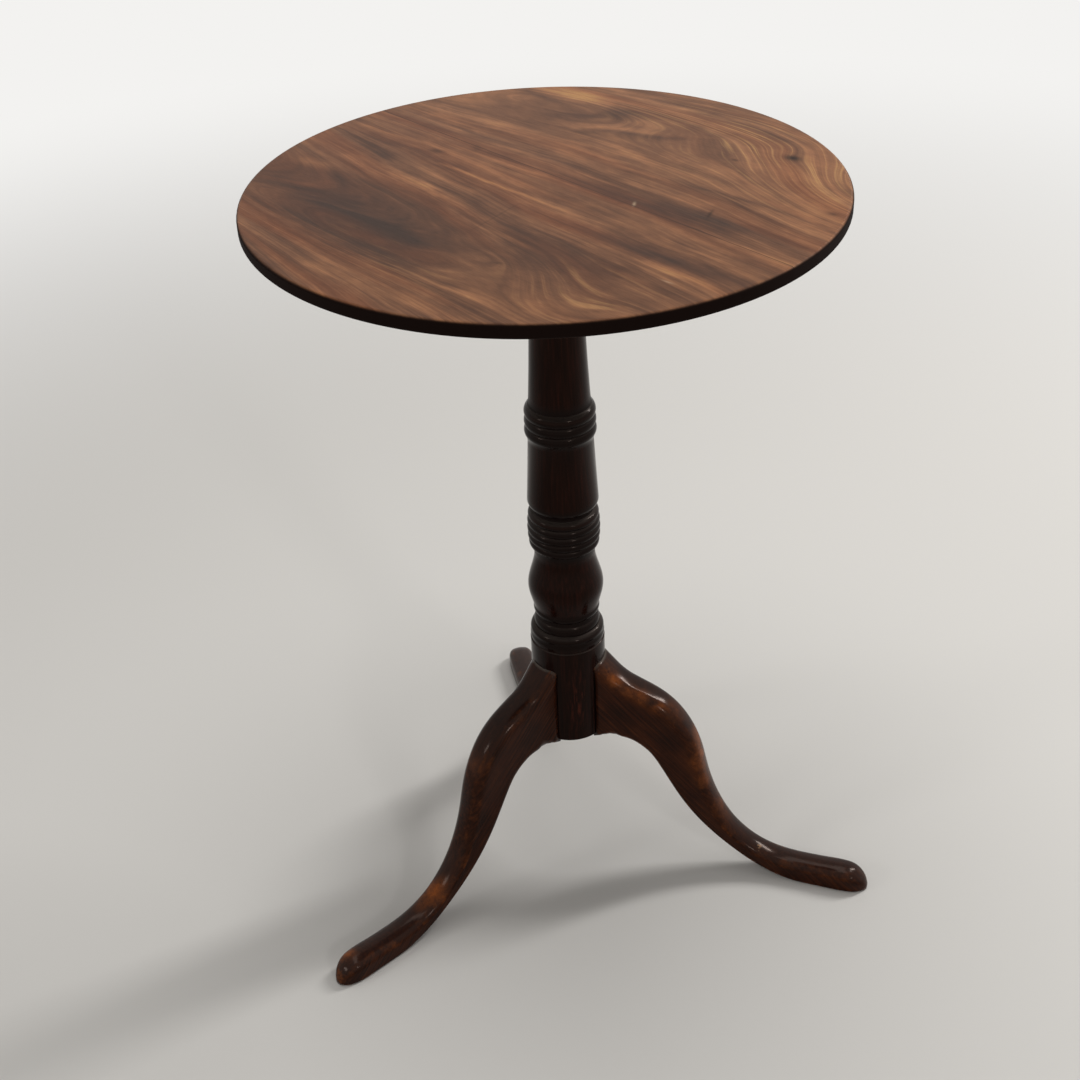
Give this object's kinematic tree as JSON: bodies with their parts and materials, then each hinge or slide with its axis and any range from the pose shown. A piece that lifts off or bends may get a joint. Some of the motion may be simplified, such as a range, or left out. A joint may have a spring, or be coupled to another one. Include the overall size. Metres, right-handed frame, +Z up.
{
  "type": "tilt-top pedestal table",
  "caption": "Small round tilt-top pedestal table: boarded top on bearers, pintle block, ring-turned column, splayed tripod legs with slipper feet.",
  "frame": {"origin": "on the column's axis at floor level", "axes": "+Z up; one leg points to -Y; +X along the grain of the top and along the pintle axis"},
  "size_m": [0.534, 0.5517, 0.711],
  "materials": {
    "top_wood": "figured mahogany, worn french polish",
    "under_wood": "unpolished mahogany, darkened by age",
    "column_wood": "turned mahogany, dark polish",
    "leg_wood": "mahogany, dark polish worn at the arrises",
    "wrought_iron": "forged, dull brown-black",
    "steel_screws": "aged steel",
    "catch_brass": "cast brass, tarnished"
  },
  "bodies": {
    "stand": {"column": "column_wood", "tenon_wedges": "under_wood", "leg_front": "leg_wood", "leg_right": "leg_wood", "leg_left": "leg_wood", "base_plate": "wrought_iron", "base_plate_screws": "steel_screws", "tilt_block": "under_wood", "strike_plate": "catch_brass", "strike_screws": "catch_brass"},
    "top": {"top_board_front": "top_wood", "top_board_back": "top_wood", "bearer_left": "under_wood", "bearer_right": "under_wood", "bearer_screws": "steel_screws", "catch_plate": "catch_brass", "catch_spring": "steel_screws", "catch_screws": "catch_brass"},
    "bolt": {"catch_bolt": "catch_brass", "catch_knob": "catch_brass"}
  },
  "joints": [
    {"name": "top_tilt", "type": "hinge", "parent": "stand", "child": "top", "pos_m": [0, 0.045, 0.6862], "axis": [-1, 0, 0], "range_deg": [0, 90]},
    {"name": "catch_slide", "type": "slide", "parent": "top", "child": "bolt", "axis": [0, 1, 0], "range_m": [0, 0.008]}
  ]
}
